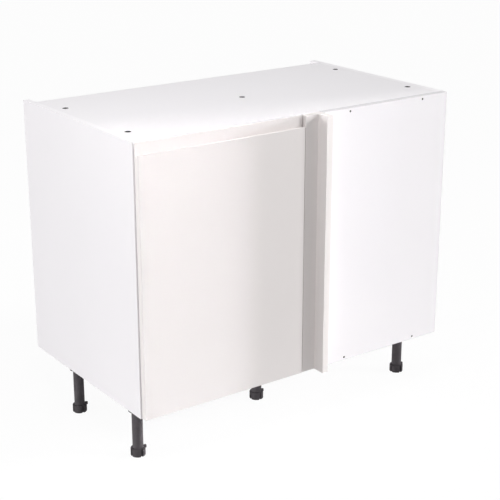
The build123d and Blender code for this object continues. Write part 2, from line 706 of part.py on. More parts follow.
def mounting_plate(height):
    wing = PLATE_WING_WIDTH / 2
    base = slab(
        (INSIDE_LEFT, PLATE_SETBACK - wing, height - PLATE_WING_HALF),
        (INSIDE_LEFT + PLATE_BASE, PLATE_SETBACK + wing, height + PLATE_WING_HALF),
    )
    half = ARM_HALF_WIDTH - ARM_WALL - PLATE_PLAY
    top = ARM_TOP_X - ARM_WALL
    end = ARM_START_Y + ARM_LENGTH - PLATE_BASE
    block = slab((INSIDE_LEFT, PLATE_BLOCK_START, height - half), (top - PLATE_STEP, end, height + half))
    rear = slab((top - PLATE_STEP, PLATE_SETBACK + wing, height - half), (top, end, height + half))
    body = base + block + rear
    tools = []
    for point in plate_screw_points(height):
        tools.append(screw_hole(point, (-1, 0, 0), PLATE_SCREW_RADIUS, PLATE_BASE))
    for x, y, z in arm_screw_points(height):
        tools.append(screw_hole((x, y, z), (-1, 0, 0), ARM_SCREW_RADIUS, ARM_SCREW_LENGTH))
    return cut(body, tools)


# Legs
def leg_socket(leg):
    x, y = leg
    half = FLANGE_SIDE / 2
    flange = slab((x - half, y - half, -FLANGE_THICKNESS), (x + half, y + half, 0))
    flange = fillet(flange.edges().filter_by(Axis.Z), FLANGE_CORNER)
    body = flange + bar((x, y, 0), (0, 0, -1), SOCKET_RADIUS, SOCKET_DROP)
    bore = bar((x, y, -SOCKET_FLOOR), (0, 0, -1), TUBE_RADIUS + SOCKET_PLAY, SOCKET_DROP)
    holes = [screw_hole(p, (0, 0, 1), SCREW_RADIUS, FLANGE_THICKNESS) for p in flange_screw_points(leg)]
    return cut(body, [bore] + holes)


def leg_tube(leg):
    x, y = leg
    top = -SOCKET_FLOOR - SOCKET_PLAY
    bottom = -LEG_HEIGHT + FOOT_HEIGHT + FOOT_REST_GAP
    outside = bar((x, y, bottom), (0, 0, 1), TUBE_RADIUS, top - bottom)
    length = top - bottom + 2 * OVERSHOOT
    inside = bar((x, y, bottom - OVERSHOOT), (0, 0, 1), TUBE_RADIUS - TUBE_WALL, length)
    return outside - inside


def leg_foot(leg):
    x, y = leg
    foot_top = -LEG_HEIGHT + FOOT_HEIGHT
    pads = bar((x, y, -LEG_HEIGHT), (0, 0, 1), FOOT_RADIUS, FOOT_HEIGHT)
    pads = chamfer(pads.edges().group_by(Axis.Z)[0], FOOT_SOLE_CHAMFER)
    half = FOOT_SLOT_WIDTH / 2
    reach = FOOT_RADIUS + OVERSHOOT
    low = -LEG_HEIGHT - OVERSHOOT
    high = foot_top + OVERSHOOT
    slots = [
        slab((x - reach, y - half, low), (x + reach, y + half, high)),
        slab((x - half, y - reach, low), (x + half, y + reach, high)),
    ]
    core = bar((x, y, -LEG_HEIGHT), (0, 0, 1), FOOT_CORE_RADIUS, FOOT_HEIGHT)
    stem_radius = TUBE_RADIUS - TUBE_WALL - STEM_PLAY
    stem = bar((x, y, foot_top), (0, 0, 1), stem_radius, STEM_LENGTH)
    half = FOOT_LUG_WIDTH / 2
    lug = slab(
        (x + FOOT_CORE_RADIUS - OVERSHOOT, y - half, foot_top - FOOT_LUG_HEIGHT),
        (x + FOOT_RADIUS + FOOT_LUG_REACH, y + half, foot_top),
    )
    body = cut(pads, slots) + core + stem + lug
    stem_top = (x, y, foot_top + STEM_LENGTH)
    return body - bar(stem_top, (0, 0, -1), STEM_BORE_RADIUS, STEM_LENGTH)


# Save every node
save("left_side_panel", [left_side_panel()])
save("right_side_panel", [side_panel(CABINET_WIDTH, INSIDE_RIGHT)])
save("base_panel", [base_panel()])
save("top_panel", [top_panel()])
save("back_panel", [back_panel()])
save("shelf", [shelf()])
save("centre_stile", [centre_stile()])
save("blind_panel", [blind_panel()])
save("post_front_leg", [post_front_leg()])
save("post_return_leg", [post_return_leg()])
save("door_panel", [door_panel()])

pegs = []
for row_y in PEG_ROWS_Y:
    pegs.append(shelf_peg(INSIDE_LEFT, -1, row_y))
    pegs.append(shelf_peg(INSIDE_RIGHT, 1, row_y))
save("shelf_pegs", pegs)

save("carcass_dowels", [carcass_dowel(p, d, 0) for p, d in carcass_dowel_axes()])
save("stile_dowels", [stile_dowel(p, d, 0) for p, d in stile_dowel_axes()])


def wood_screws(points, direction, length):
    return [
        screw(p, direction, SCREW_RADIUS, length, SCREW_HEAD_RADIUS, SCREW_HEAD_HEIGHT)
        for p in points
    ]


save("back_panel_screws", wood_screws(back_screw_points(), (0, -1, 0), SCREW_LENGTH))
save("blind_panel_screws", wood_screws(blind_screw_points(), (0, 1, 0), SCREW_LENGTH))
save("post_fixing_screws", wood_screws(post_fixing_points(), (0, -1, 0), SCREW_LENGTH))
save("post_joining_screws", wood_screws(post_joining_points(), (-1, 0, 0), SCREW_LENGTH))

BUMPER_HEIGHTS = (DOOR_BOTTOM + BUMPER_END, DOOR_TOP - BUMPER_END)
save("door_bumpers", [door_bumper(z) for z in BUMPER_HEIGHTS])

cup_screw_list = []
plate_screw_list = []
arm_screw_list = []
cup_pin_list = []
arm_pin_list = []
for name, height in zip(("lower", "upper"), HINGE_HEIGHTS):
    save("hinge_cup_" + name, [hinge_cup(height)])
    save("hinge_arm_" + name, [hinge_arm(height)])
    save("mounting_plate_" + name, [mounting_plate(height)])
    save("outer_link_" + name, outer_link(height))
    save("inner_link_" + name, [inner_link(height)])
    cup_screw_list += wood_screws(cup_screw_points(height), (0, -1, 0), CUP_SCREW_LENGTH)
    cup_pin_list += cup_pins(height)
    arm_pin_list += arm_pins(height)
    for point in plate_screw_points(height):
        size = (PLATE_SCREW_RADIUS, PLATE_SCREW_LENGTH, PLATE_SCREW_HEAD_RADIUS, SCREW_HEAD_HEIGHT)
        plate_screw_list.append(screw(point, (-1, 0, 0), *size))
    for point in arm_screw_points(height):
        size = (ARM_SCREW_RADIUS, ARM_SCREW_LENGTH, ARM_SCREW_HEAD_RADIUS, ARM_SCREW_HEAD_HEIGHT)
        arm_screw_list.append(screw(point, (-1, 0, 0), *size))
save("hinge_cup_screws", cup_screw_list)
save("hinge_cup_pins", cup_pin_list)
save("hinge_arm_pins", arm_pin_list)
save("mounting_plate_screws", plate_screw_list)
save("hinge_arm_screws", arm_screw_list)

flange_screw_list = []
for name, leg in LEG_POSITIONS.items():
    save("leg_socket_" + name, [leg_socket(leg)])
    save("leg_tube_" + name, [leg_tube(leg)])
    save("leg_foot_" + name, [leg_foot(leg)])
    flange_screw_list += wood_screws(flange_screw_points(leg), (0, 0, 1), FLANGE_SCREW_LENGTH)
save("leg_socket_screws", flange_screw_list)
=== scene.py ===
import bpy
import bmesh
import math
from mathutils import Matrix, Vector


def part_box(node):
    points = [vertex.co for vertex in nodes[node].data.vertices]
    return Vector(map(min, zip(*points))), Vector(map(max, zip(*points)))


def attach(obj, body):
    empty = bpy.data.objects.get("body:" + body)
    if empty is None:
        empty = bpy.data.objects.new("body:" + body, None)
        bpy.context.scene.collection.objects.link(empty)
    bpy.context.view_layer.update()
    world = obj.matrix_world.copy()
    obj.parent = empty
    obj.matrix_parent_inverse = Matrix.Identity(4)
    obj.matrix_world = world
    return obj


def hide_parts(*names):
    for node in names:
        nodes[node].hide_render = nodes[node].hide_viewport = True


# Blind corner base cabinet: finishes, fixings, feet, light and camera.
# Metres, in the same frame as the solids.

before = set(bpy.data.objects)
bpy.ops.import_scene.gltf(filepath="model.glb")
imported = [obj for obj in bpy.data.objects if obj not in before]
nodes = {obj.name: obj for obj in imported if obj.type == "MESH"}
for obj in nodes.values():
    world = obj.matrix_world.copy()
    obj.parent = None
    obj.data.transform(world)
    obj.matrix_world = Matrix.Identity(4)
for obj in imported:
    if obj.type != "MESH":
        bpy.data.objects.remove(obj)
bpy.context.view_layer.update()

MM = 0.001

# Colours, in linear light
WHITE = (0.915, 0.891, 0.915)
OFF_WHITE = (0.875, 0.832, 0.822)
LEG_GREY = (0.120, 0.110, 0.118)
FOOT_GREY = (0.105, 0.096, 0.103)
# Near-black socket colour: painted shade for the shadow under the cabinet
SOCKET_PAINTED_SHADE = (0.022, 0.020, 0.022)
GEL_WHITE = (0.75, 0.75, 0.74)
NICKEL_GREY = (0.66, 0.65, 0.63)
ZINC_BRIGHT = (0.62, 0.62, 0.64)
ZINC_DARK = (0.10, 0.10, 0.105)
BEECH_PALE = (0.62, 0.45, 0.28)
BEECH_DARK = (0.46, 0.31, 0.18)

# Board skins: grain scale, grain height and range of roughness
SKINS = {
    "melamine": (2600.0, 0.00004, (0.36, 0.46)),
    "foil": (420.0, 0.00003, (0.42, 0.5)),
    "plain": (1500.0, 0.00005, (0.5, 0.6)),
}
# Board cores: dark and pale colour. The near-black pair is no core colour but painted shade for the bores
# and countersinks of the top and blind panels
CORES = {
    "chipboard": ((0.30, 0.21, 0.13), (0.52, 0.40, 0.26)),
    "fibreboard": ((0.38, 0.27, 0.17), (0.46, 0.34, 0.22)),
    "painted_shade": ((0.008, 0.007, 0.007), (0.02, 0.018, 0.016)),
}
CORE_GRAIN = 900.0
CORE_ROUGHNESS = 0.9
CORE_SHINE = 0.05
FACE_SHINE = 0.5
FACE_BUMP = 0.3
# Depth under which a point counts as lying on the face of its board
FACE_MARGIN = 0.0003
CLOUD_SCALE = 3.5
CLOUD_TONE = 0.985
# Light rub along the arrises
RUB_REACH = 0.0012
RUB_BLOTCH = 55.0
RUB_SHARE = 0.5
RUB_TONE = 0.9
RUB_ROUGHNESS = 0.2
# Edge bands against the rest of the board, and its end faces: lighter on the gables as painted highlight,
# darker on the blind panel as painted shade
BAND = 0.0009
BAND_LINE_HALF = 0.00012
BAND_LINE_TONE = 0.6
GABLE_END_PAINTED_HIGHLIGHT = 1.05
BLIND_END_PAINTED_SHADE = 0.76
# Height of the pull at the door's top: foil covers it, and raw core shows only in holes below it
PULL_HEIGHT = 0.06


# Material building blocks

def new_finish(name):
    material = bpy.data.materials.new(name)
    material.use_nodes = True
    tree = material.node_tree
    tree.nodes.clear()
    output = tree.nodes.new("ShaderNodeOutputMaterial")
    shader = tree.nodes.new("ShaderNodeBsdfPrincipled")
    tree.links.new(shader.outputs["BSDF"], output.inputs["Surface"])
    coords = tree.nodes.new("ShaderNodeTexCoord")
    return material, tree, shader, coords.outputs["Object"]


def speckle(tree, coords, scale, detail=2.0):
    noise = tree.nodes.new("ShaderNodeTexNoise")
    noise.inputs["Scale"].default_value = scale
    noise.inputs["Detail"].default_value = detail
    tree.links.new(coords, noise.inputs["Vector"])
    return noise.outputs["Fac"]


def stretched(tree, coords, stretch):
    mapping = tree.nodes.new("ShaderNodeMapping")
    mapping.inputs["Scale"].default_value = stretch
    tree.links.new(coords, mapping.inputs["Vector"])
    return mapping.outputs["Vector"]


def remapped(tree, value, from_low, from_high, to_low, to_high):
    spread = tree.nodes.new("ShaderNodeMapRange")
    spread.inputs["From Min"].default_value = from_low
    spread.inputs["From Max"].default_value = from_high
    spread.inputs["To Min"].default_value = to_low
    spread.inputs["To Max"].default_value = to_high
    tree.links.new(value, spread.inputs["Value"])
    return spread.outputs["Result"]


def between(tree, noise, low, high):
    # Noise mostly stays between 0.3 and 0.7, which is spread over the wanted range
    return remapped(tree, noise, 0.3, 0.7, low, high)


def math_node(tree, operation, *values):
    node = tree.nodes.new("ShaderNodeMath")
    node.operation = operation
    for socket, value in zip(node.inputs, values):
        if isinstance(value, (int, float)):
            socket.default_value = value
        else:
            tree.links.new(value, socket)
    return node.outputs["Value"]


def shade(colour, amount):
    return tuple(min(1.0, c * amount) for c in colour) + (1.0,)


def blend_colours(tree, factor, first, second):
    # Colour mix whose ends are either fixed colours or sockets
    mix = tree.nodes.new("ShaderNodeMix")
    mix.data_type = "RGBA"
    for name, end in (("A", first), ("B", second)):
        socket = next(s for s in mix.inputs if s.name == name and s.type == "RGBA")
        if isinstance(end, tuple):
            socket.default_value = end
        else:
            tree.links.new(end, socket)
    tree.links.new(factor, next(s for s in mix.inputs if s.name == "Factor" and s.type == "VALUE"))
    return next(s for s in mix.outputs if s.type == "RGBA")


def raise_grain(tree, shader, factor, height, strength):
    bump = tree.nodes.new("ShaderNodeBump")
    bump.inputs["Distance"].default_value = height
    bump.inputs["Strength"].default_value = strength
    tree.links.new(factor, bump.inputs["Height"])
    tree.links.new(bump.outputs["Normal"], shader.inputs["Normal"])


# Boards

def split_axes(tree, coords):
    split = tree.nodes.new("ShaderNodeSeparateXYZ")
    tree.links.new(coords, split.inputs["Vector"])
    return split


def depths_in_board(tree, split, low, high):
    # How far a point lies inside its board's box, along each axis
    depths = []
    for axis, a, b in zip("XYZ", low, high):
        from_middle = math_node(tree, "SUBTRACT", split.outputs[axis], (a + b) / 2)
        depths.append(math_node(tree, "SUBTRACT", (b - a) / 2, math_node(tree, "ABSOLUTE", from_middle)))
    return depths


def cut_core(tree, depths):
    # 1 inside holes, grooves and bores, where the raw core shows, or the near-black painted shade on the
    # top and blind panels
    least = math_node(tree, "MINIMUM", math_node(tree, "MINIMUM", depths[0], depths[1]), depths[2])
    return math_node(tree, "GREATER_THAN", least, FACE_MARGIN)


def arris_rub(tree, coords, depths):
    # Rises towards the long corners of a board, broken up by noise: a light rub from handling
    x, y, z = depths
    second = math_node(
        tree, "MAXIMUM",
        math_node(tree, "MINIMUM", x, y),
        math_node(tree, "MINIMUM", math_node(tree, "MAXIMUM", x, y), z))
    near = remapped(tree, second, 0.0, RUB_REACH, 1.0, 0.0)
    broken = between(tree, speckle(tree, coords, RUB_BLOTCH, detail=3.0), 0.2, 1.0)
    return math_node(tree, "MULTIPLY", near, broken)


def band_line(tree, split, axis, place):
    # 1 on the hairline where an edge band meets the face of a board
    return math_node(tree, "COMPARE", split.outputs[axis], place, BAND_LINE_HALF)


def end_faces(tree, depths):
    # 1 on the top and bottom edges of an upright board, where the painted highlight or painted shade goes
    return math_node(tree, "LESS_THAN", depths[2], FACE_MARGIN)


def raw_core_or_painted_shade(tree, coords, core):
    dark, pale = CORES[core]
    chips = between(tree, speckle(tree, coords, CORE_GRAIN, detail=3.0), 0.0, 1.0)
    return blend_colours(tree, chips, shade(dark, 1.0), shade(pale, 1.0))


def board_finish(
        name, node, colour, bands=(), skin="melamine", core="chipboard", core_top=None, end_painted_light=1.0):
    # One board: grained skin with slow cloudiness, rubbed arrises, hairlines along its edge bands,
    # end faces with painted highlight or painted shade, and raw core or near-black painted shade in its
    # holes, below core_top where that is given
    low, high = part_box(node)
    material, tree, shader, coords = new_finish(name)
    grain_scale, grain_height, roughness = SKINS[skin]
    grain = speckle(tree, coords, grain_scale)
    cloud = between(tree, speckle(tree, coords, CLOUD_SCALE, detail=1.0), 0.0, 1.0)
    base = blend_colours(tree, cloud, shade(colour, CLOUD_TONE), shade(colour, 1.0))
    split = split_axes(tree, coords)
    depths = depths_in_board(tree, split, low, high)
    rub = math_node(tree, "MULTIPLY", arris_rub(tree, coords, depths), RUB_SHARE)
    base = blend_colours(tree, rub, base, shade(colour, RUB_TONE))
    for axis, place in bands:
        line = band_line(tree, split, axis, place)
        base = blend_colours(tree, line, base, shade(colour, BAND_LINE_TONE))
    # Painted highlight or painted shade on the end faces
    base = blend_colours(tree, end_faces(tree, depths), base, shade(colour, end_painted_light))
    if core_top is not None:
        depths = depths_in_board(tree, split, low, (high.x, high.y, core_top))
    cut = cut_core(tree, depths)
    # Raw core in the holes, or near-black painted shade on the top and blind panels
    base = blend_colours(tree, cut, base, raw_core_or_painted_shade(tree, coords, core))
    rubbed = math_node(tree, "MULTIPLY_ADD", rub, RUB_ROUGHNESS, between(tree, grain, *roughness))
    raw = math_node(tree, "MULTIPLY", cut, CORE_ROUGHNESS)
    shine = math_node(tree, "MULTIPLY_ADD", cut, CORE_SHINE - FACE_SHINE, FACE_SHINE)
    tree.links.new(base, shader.inputs["Base Color"])
    tree.links.new(math_node(tree, "MAXIMUM", rubbed, raw), shader.inputs["Roughness"])
    tree.links.new(shine, shader.inputs["Specular IOR Level"])
    raise_grain(tree, shader, grain, grain_height, FACE_BUMP)
    return material


# Other materials

def moulded_plastic(name, colour, roughness, grain=900.0, shine=0.5):
    # Moulded plastic: spark eroded grain and slightly duller patches
    material, tree, shader, coords = new_finish(name)
    spark = speckle(tree, coords, grain, detail=3.0)
    patch = between(tree, speckle(tree, coords, scale=40.0), 0.0, 1.0)
    base = blend_colours(tree, patch, shade(colour, 0.88), shade(colour, 1.1))
    tree.links.new(base, shader.inputs["Base Color"])
    tree.links.new(between(tree, spark, *roughness), shader.inputs["Roughness"])
    shader.inputs["Specular IOR Level"].default_value = shine
    raise_grain(tree, shader, spark, height=0.00008, strength=0.5)
    return material


def plated_steel(name, colour, roughness, streak):
    # Plated pressed steel: fine drawn streaks along the piece and a little tarnish
    material, tree, shader, coords = new_finish(name)
    streaks = speckle(tree, stretched(tree, coords, streak), scale=500.0, detail=3.0)
    tarnish = between(tree, speckle(tree, coords, scale=60.0), 0.0, 1.0)
    base = blend_colours(tree, tarnish, shade(colour, 0.9), shade(colour, 1.04))
    tree.links.new(base, shader.inputs["Base Color"])
    shader.inputs["Metallic"].default_value = 1.0
    tree.links.new(between(tree, streaks, *roughness), shader.inputs["Roughness"])
    raise_grain(tree, shader, streaks, height=0.00002, strength=0.2)
    return material


def beech_wood(name, pale, dark):
    # Turned beech: long grain with short dark flecks
    material, tree, shader, coords = new_finish(name)
    grain = speckle(tree, stretched(tree, coords, (0.12, 1.0, 1.0)), scale=700.0, detail=5.0)
    flecks = speckle(tree, stretched(tree, coords, (0.3, 1.0, 1.0)), scale=1800.0)
    base = blend_colours(tree, between(tree, grain, 0.0, 1.0), shade(dark, 1.0), shade(pale, 1.0))
    tree.links.new(base, shader.inputs["Base Color"])
    tree.links.new(between(tree, flecks, 0.55, 0.75), shader.inputs["Roughness"])
    raise_grain(tree, shader, grain, height=0.0001, strength=0.4)
    return material


LONG_STREAK = (1.0, 1.0, 14.0)
SHORT_STREAK = (1.0, 1.0, 4.0)

leg_plastic = moulded_plastic("leg_plastic", LEG_GREY, roughness=(0.5, 0.62), shine=0.03)
# The socket's near-black colour is painted shade for the shadow under the cabinet
socket_plastic_painted_shade = moulded_plastic("socket_plastic_painted_shade", SOCKET_PAINTED_SHADE, roughness=(0.45, 0.6), shine=0.03)
foot_plastic = moulded_plastic("foot_plastic", FOOT_GREY, roughness=(0.5, 0.65), shine=0.03)
bumper_gel = moulded_plastic("bumper_gel", GEL_WHITE, roughness=(0.25, 0.35), grain=300.0)
nickel = plated_steel("nickel", NICKEL_GREY, (0.24, 0.38), LONG_STREAK)
bright_zinc = plated_steel("bright_zinc", ZINC_BRIGHT, (0.3, 0.45), SHORT_STREAK)
dark_zinc = plated_steel("dark_zinc", ZINC_DARK, (0.35, 0.5), SHORT_STREAK)
beech = beech_wood("beech", BEECH_PALE, BEECH_DARK)


# Finish of every node of the solids

front_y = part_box("top_panel")[0].y
rear_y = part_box("left_side_panel")[1].y
shelf_front_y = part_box("shelf")[0].y
blind_low, blind_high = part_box("blind_panel")
front_band = ("Y", front_y + BAND)
rear_band = ("Y", rear_y - BAND)
blind_bands = [("X", blind_low.x + BAND), ("X", blind_high.x - BAND)]
blind_bands += [("Z", blind_low.z + BAND), ("Z", blind_high.z - BAND)]

# Gables: painted highlight on their top and bottom end faces
GABLE = dict(colour=WHITE, bands=[front_band, rear_band], end_painted_light=GABLE_END_PAINTED_HIGHLIGHT)
FOILED = dict(colour=OFF_WHITE, skin="foil", core="fibreboard")
BOARDS = {
    "left_side_panel": GABLE,
    "right_side_panel": GABLE,
    "base_panel": dict(colour=WHITE, bands=[front_band]),
    # Top and blind panels: near-black painted shade in their bores and countersinks instead of raw core
    "top_panel": dict(colour=WHITE, bands=[front_band], core="painted_shade"),
    "back_panel": dict(colour=WHITE, skin="plain"),
    "shelf": dict(colour=WHITE, bands=[("Y", shelf_front_y + BAND)]),
    "centre_stile": dict(colour=WHITE),
    # Blind panel: painted shade on its end faces
    "blind_panel": dict(colour=WHITE, bands=blind_bands, core="painted_shade", end_painted_light=BLIND_END_PAINTED_SHADE),
    "post_front_leg": FOILED,
    "post_return_leg": FOILED,
    "door_panel": dict(FOILED, core_top=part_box("door_panel")[1].z - PULL_HEIGHT),
}
OTHER_FINISHES = {
    "leg_socket": socket_plastic_painted_shade,
    "leg_tube": leg_plastic,
    "leg_foot": foot_plastic,
    "door_bumpers": bumper_gel,
    "hinge_cup_pins": bright_zinc,
    "hinge_arm_pins": bright_zinc,
}


def finish_of(name):
    if name in BOARDS:
        return board_finish(name + "_board", name, **BOARDS[name])
    for start, finish in OTHER_FINISHES.items():
        if name.startswith(start):
            return finish
    return nickel


for name, node in nodes.items():
    node.data.materials.clear()
    node.data.materials.append(finish_of(name))


# Softened edges of the boards

WHITE_ARRIS = 0.0005
FOIL_ARRIS = 0.0009
ARRIS_STEPS = 2
ARRIS_ANGLE = math.radians(40)
WELD_REACH = 0.00001


def soften_edges(name, width):
    node = nodes[name]
    weld = node.modifiers.new("joined_faces", "WELD")
    weld.merge_threshold = WELD_REACH
    arris = node.modifiers.new("arris", "BEVEL")
    arris.width = width
    arris.segments = ARRIS_STEPS
    arris.limit_method = "ANGLE"
    arris.angle_limit = ARRIS_ANGLE


for name in ("left_side_panel", "right_side_panel", "top_panel", "base_panel", "shelf", "blind_panel"):
    soften_edges(name, WHITE_ARRIS)
for name in ("door_panel", "post_front_leg", "post_return_leg"):
    soften_edges(name, FOIL_ARRIS)


# Mesh building blocks

def mesh_piece(name, build, finish):
    mesh = bpy.data.meshes.new(name)
    bm = bmesh.new()
    build(bm)
    bmesh.ops.remove_doubles(bm, verts=bm.verts, dist=1e-7)
    bmesh.ops.recalc_face_normals(bm, faces=bm.faces)
    bm.to_mesh(mesh)
    bm.free()
    mesh.materials.append(finish)
    piece = bpy.data.objects.new(name, mesh)
    bpy.context.scene.collection.objects.link(piece)
    return piece


def ring(bm, radius, z, count):
    step = 2 * math.pi / count
    return [
        bm.verts.new((radius * math.cos(step * i), radius * math.sin(step * i), z))
        for i in range(count)
    ]


def bridge(bm, *rows):
    # Walls between rows of points of equal count, each row a closed loop
    for lower, upper in zip(rows, rows[1:]):
        count = len(lower)
        for i in range(count):
            j = (i + 1) % count
            bm.faces.new((lower[i], lower[j], upper[j], upper[i]))


def capped(bm, rows):
    # Walls between rows of points, closed at both ends
    bridge(bm, *rows)
    bm.faces.new(list(reversed(rows[0])))
    bm.faces.new(rows[-1])


# Screw heads: shares of the head's height
HEAD_DOME = 0.25
RECESS_DEPTH = 0.75
# Screw heads: shares of the head's radius
HEAD_FLAT = 0.8
RECESS_ARM = 0.58
RECESS_HALF_WIDTH = 0.13
# Size of the cross recess at its floor against its mouth
RECESS_TAPER = 0.7
# Screw threads and tips: shares of the shank's radius
THREAD_ROOT = 0.74
THREAD_STEP = 0.75
TIP_LENGTH = 2.2
TIP_RADIUS = 0.7
SCREW_SIDES = 20


def cross_outline(arm, half_width):
    # Three corners of one arm, set down at each quarter turn
    corners = [(arm, -half_width), (arm, half_width), (half_width, half_width)]
    outline = []
    for _ in range(4):
        outline += corners
        corners = [(-y, x) for x, y in corners]
    return outline


def cross_recess(bm, rim, head_radius, head_height):
    # Sinks a tapered cross into the flat of a head and closes the flat around it
    outline = cross_outline(head_radius * RECESS_ARM, head_radius * RECESS_HALF_WIDTH)
    floor_z = (RECESS_DEPTH - 1.0) * head_height
    mouth = [bm.verts.new((x, y, -head_height)) for x, y in outline]
    floor = [bm.verts.new((x * RECESS_TAPER, y * RECESS_TAPER, floor_z)) for x, y in outline]
    bridge(bm, mouth, floor)
    bm.faces.new(floor)
    edges = [bm.edges.get(pair) for loop in (rim, mouth) for pair in zip(loop, loop[1:] + loop[:1])]
    bmesh.ops.triangle_fill(bm, edges=edges, use_beauty=True)


def screw_shape(bm, shank_radius, length, head_radius, head_height, blunt=False):
    # Head above the board at negative Z with a cross recess, ringed thread below it at positive Z
    top = ring(bm, head_radius * HEAD_FLAT, -head_height, SCREW_SIDES)
    side = ring(bm, head_radius, (HEAD_DOME - 1.0) * head_height, SCREW_SIDES)
    under = ring(bm, head_radius, 0.0, SCREW_SIDES)
    neck = ring(bm, shank_radius, 0.0, SCREW_SIDES)
    bridge(bm, top, side, under, neck)
    cross_recess(bm, top, head_radius, head_height)
    tip = length if blunt else length - TIP_LENGTH * shank_radius
    turns = max(2, int(tip / (shank_radius * THREAD_STEP)))
    rungs = [neck]
    for k in range(1, turns):
        radius = shank_radius * (1.0 if k % 2 else THREAD_ROOT)
        rungs.append(ring(bm, radius, tip * k / turns, SCREW_SIDES))
    end = ring(bm, shank_radius * (THREAD_ROOT if blunt else TIP_RADIUS), tip, SCREW_SIDES)
    bridge(bm, *rungs, end)
    if blunt:
        bm.faces.new(end)
        return
    point = bm.verts.new((0, 0, length))
    for i in range(SCREW_SIDES):
        bm.faces.new((end[i], end[(i + 1) % SCREW_SIDES], point))


# Dowels
DOWEL_RADIUS = 4.0 * MM
DOWEL_LENGTH = 33.0 * MM
DOWEL_BEVEL = 1.0 * MM
DOWEL_FLUTES = 18
# Shares of the radius at the ends and at the floor of the flutes
DOWEL_END = 0.78
FLUTE_FLOOR = 0.93


def fluted_ring(bm, z, inner, outer):
    count = 2 * DOWEL_FLUTES
    points = []
    for i in range(count):
        angle = 2 * math.pi * i / count
        radius = outer if i % 2 else inner
        points.append(bm.verts.new((radius * math.cos(angle), radius * math.sin(angle), z)))
    return points


def dowel_shape(bm):
    # Fluted dowel with bevelled ends, centred on the joint that it crosses
    half = DOWEL_LENGTH / 2
    end = DOWEL_RADIUS * DOWEL_END
    floor = DOWEL_RADIUS * FLUTE_FLOOR
    capped(bm, [
        fluted_ring(bm, -half, end, end),
        fluted_ring(bm, -half + DOWEL_BEVEL, floor, DOWEL_RADIUS),
        fluted_ring(bm, half - DOWEL_BEVEL, floor, DOWEL_RADIUS),
        fluted_ring(bm, half, end, end),
    ])


# Door bumper: shares of its radius and length, from the door outwards
BUMPER_SIDES = 32
BUMPER_DOME = [(1.0, 0.0), (1.0, 0.45), (0.96, 0.62), (0.84, 0.8), (0.6, 0.93), (0.3, 0.99), (0.08, 1.0)]


def bumper_shape(bm):
    low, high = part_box("door_bumpers")
    radius = (high.x - low.x) / 2
    length = high.y - low.y
    capped(bm, [ring(bm, radius * wide, length * out, BUMPER_SIDES) for wide, out in BUMPER_DOME])


# Repeats

# Turn from each fixing to the next, in radians
TURN_STEP = 0.7


def start_tree(name):
    tree = bpy.data.node_groups.new(name, "GeometryNodeTree")
    tree.interface.new_socket("Geometry", in_out="INPUT", socket_type="NodeSocketGeometry")
    tree.interface.new_socket("Geometry", in_out="OUTPUT", socket_type="NodeSocketGeometry")
    entry = tree.nodes.new("NodeGroupInput")
    result = tree.nodes.new("NodeGroupOutput")
    return tree, entry, result


def add_input(tree, name, kind, value=None):
    socket = tree.interface.new_socket(name, in_out="INPUT", socket_type=kind)
    if value is not None:
        socket.default_value = value
    return socket.identifier


def fixing_tree():
    # Places one fixing on every point, its Z axis turned along the point's "aim"
    tree, entry, result = start_tree("fixings_on_points")
    ids = {
        "fixing": add_input(tree, "Fixing", "NodeSocketObject"),
        "size": add_input(tree, "Size", "NodeSocketFloat", 1.0),
        "turn_step": add_input(tree, "Turn step", "NodeSocketFloat", TURN_STEP),
        "finish": add_input(tree, "Finish", "NodeSocketMaterial"),
    }
    make, link = tree.nodes.new, tree.links.new
    info = make("GeometryNodeObjectInfo")
    aim = make("GeometryNodeInputNamedAttribute")
    aim.data_type = "FLOAT_VECTOR"
    aim.inputs["Name"].default_value = "aim"
    align = make("FunctionNodeAlignRotationToVector")
    align.axis = "Z"
    index = make("GeometryNodeInputIndex")
    turn = make("ShaderNodeMath")
    turn.operation = "MULTIPLY"
    spin = make("FunctionNodeAxisAngleToRotation")
    spin.inputs["Axis"].default_value = (0.0, 0.0, 1.0)
    rotate = make("FunctionNodeRotateRotation")
    rotate.rotation_space = "LOCAL"
    place = make("GeometryNodeInstanceOnPoints")
    size = make("ShaderNodeCombineXYZ")
    realize = make("GeometryNodeRealizeInstances")
    coat = make("GeometryNodeSetMaterial")
    link(entry.outputs["Fixing"], info.inputs["Object"])
    link(entry.outputs["Geometry"], place.inputs["Points"])
    link(info.outputs["Geometry"], place.inputs["Instance"])
    link(aim.outputs["Attribute"], align.inputs["Vector"])
    link(index.outputs["Index"], turn.inputs[0])
    link(entry.outputs["Turn step"], turn.inputs[1])
    link(turn.outputs["Value"], spin.inputs["Angle"])
    link(align.outputs["Rotation"], rotate.inputs["Rotation"])
    link(spin.outputs["Rotation"], rotate.inputs["Rotate By"])
    link(rotate.outputs["Rotation"], place.inputs["Rotation"])
    for axis in ("X", "Y", "Z"):
        link(entry.outputs["Size"], size.inputs[axis])
    link(size.outputs["Vector"], place.inputs["Scale"])
    link(place.outputs["Instances"], realize.inputs["Geometry"])
    link(realize.outputs["Geometry"], coat.inputs["Geometry"])
    link(entry.outputs["Finish"], coat.inputs["Material"])
    link(coat.outputs["Geometry"], result.inputs["Geometry"])
    return tree, ids


